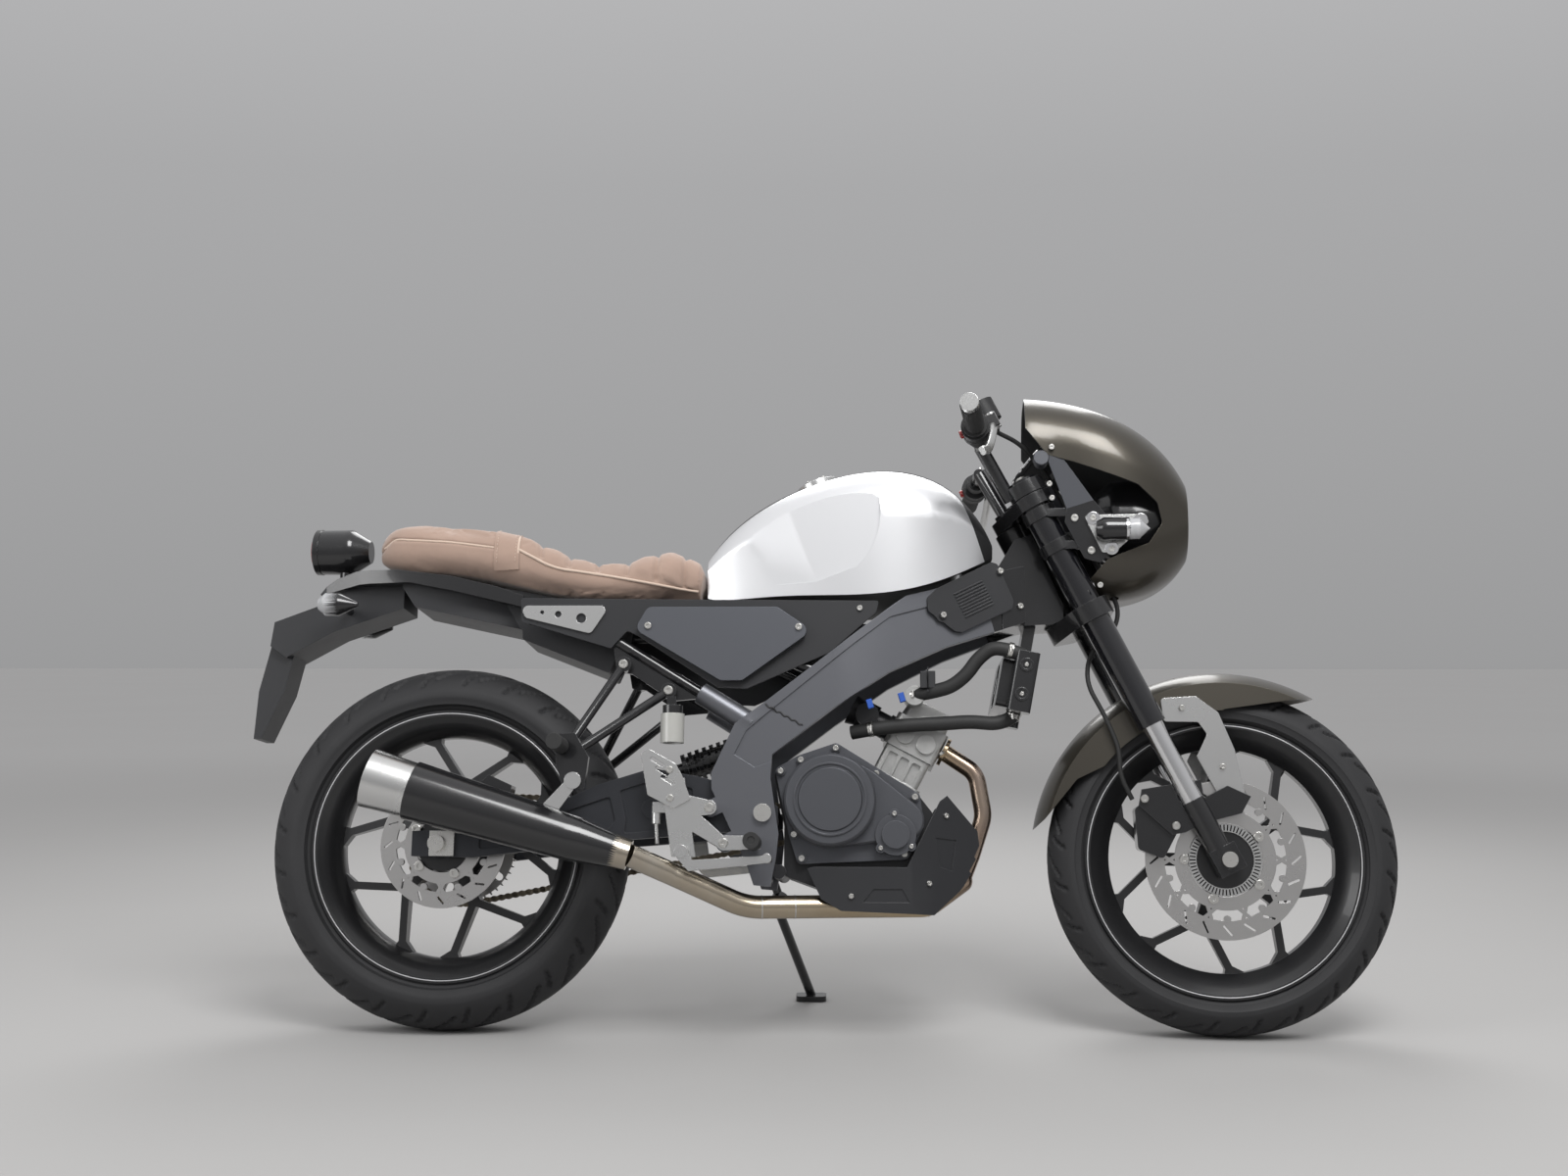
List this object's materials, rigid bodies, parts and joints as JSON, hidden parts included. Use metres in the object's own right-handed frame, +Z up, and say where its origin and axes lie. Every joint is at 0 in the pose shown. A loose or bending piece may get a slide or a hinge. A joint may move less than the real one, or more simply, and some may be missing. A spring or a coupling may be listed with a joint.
{
  "type": "small cafe racer motorcycle",
  "caption": "Small cafe racer motorcycle leaning on its side stand, with clip-on bars, a headlight cowl, a twin-spar frame, cast wheels, an open engine and a ribbed suede seat.",
  "frame": {"origin": "middle of the motorcycle's bounding box, on the ground", "axes": "+X forward, +Y to the left, +Z up; the motorcycle leans to its left on its side stand"},
  "size_m": [1.9778, 0.8039, 1.1006],
  "materials": {
    "black_frame": "satin black paint",
    "black_wheel": "gloss black paint",
    "tyre": "black rubber",
    "steel": "bare steel",
    "satin_alloy": "satin",
    "dark_cast": "matt dark grey paint",
    "bare_cast": "as cast",
    "plastic": "matt black",
    "graphite_paint": "satin graphite",
    "silver_paint": "satin silver",
    "lamp": "lamp bodies and lenses",
    "rubber": "black rubber",
    "seat_cover": "tan suede"
  },
  "bodies": {
    "chassis": {"main_frame": "black_frame", "head_covers": "dark_cast", "throttle_body": "dark_cast", "axle_and_pivot": "steel", "swingarm": "black_frame", "rear_shock": "plastic", "crankcase": "dark_cast", "clutch_cover": "dark_cast", "cylinder": "bare_cast", "cylinder_head": "bare_cast", "exhaust_pipe": "steel", "muffler": "black_frame", "muffler_strap": "steel", "skid_guard": "plastic", "radiator": "bare_cast", "coolant_hoses": "rubber", "drive_chain": "steel", "fuel_tank": "silver_paint", "subframe": "black_frame", "seat": "seat_cover", "inner_panels": "plastic", "tail_cowl": "graphite_paint", "side_covers": "graphite_paint", "rear_lamps": "lamp", "plate_holder": "plastic", "peg_stays": "black_frame", "foot_pegs": "rubber", "footrest_brackets": "satin_alloy", "foot_levers": "satin_alloy", "rear_master_cylinder": "rubber", "rear_caliper": "dark_cast", "stand_bracket": "black_frame"},
    "front_end": {"fork_yokes": "black_frame", "fork_tubes": "black_frame", "fork_sliders": "satin_alloy", "handlebars": "black_frame", "grips": "rubber", "controls": "plastic", "levers": "satin_alloy", "instrument": "plastic", "headlight": "lamp", "headlight_stays": "black_frame", "cowl": "graphite_paint", "front_indicators": "lamp", "fork_feet": "dark_cast", "front_axle": "steel", "front_caliper": "dark_cast", "front_brake_hose": "rubber", "front_mudguard": "graphite_paint", "mudguard_brackets": "satin_alloy"},
    "front_wheel": {"front_tyre": "tyre", "front_wheel": "black_wheel", "front_disc": "steel"},
    "rear_wheel": {"rear_tyre": "tyre", "rear_wheel": "black_wheel", "rear_disc": "steel", "rear_sprocket": "steel"},
    "side_stand": {"side_stand": "black_frame"}
  },
  "joints": [
    {"name": "steering", "type": "hinge", "parent": "chassis", "child": "front_end", "pos_m": [0.65021, -0.12098, 0.27006], "axis": [-0.4446, 0.1478, 0.8834], "range_deg": [-31, 39]},
    {"name": "front_wheel_spin", "type": "hinge", "parent": "front_end", "child": "front_wheel", "pos_m": [0.69489, -0.12076, 0.29251], "axis": [0.0625, 0.989, -0.1341], "continuous": true},
    {"name": "rear_wheel_spin", "type": "hinge", "parent": "chassis", "child": "rear_wheel", "pos_m": [-0.635, -0.1145, 0.30875], "axis": [0, 0.9863, -0.165], "continuous": true},
    {"name": "side_stand_fold", "type": "hinge", "parent": "chassis", "child": "side_stand", "pos_m": [-0.072, 0.00937, 0.18866], "axis": [0.1799, 0.8107, 0.5571], "range_deg": [0, 104]}
  ]
}
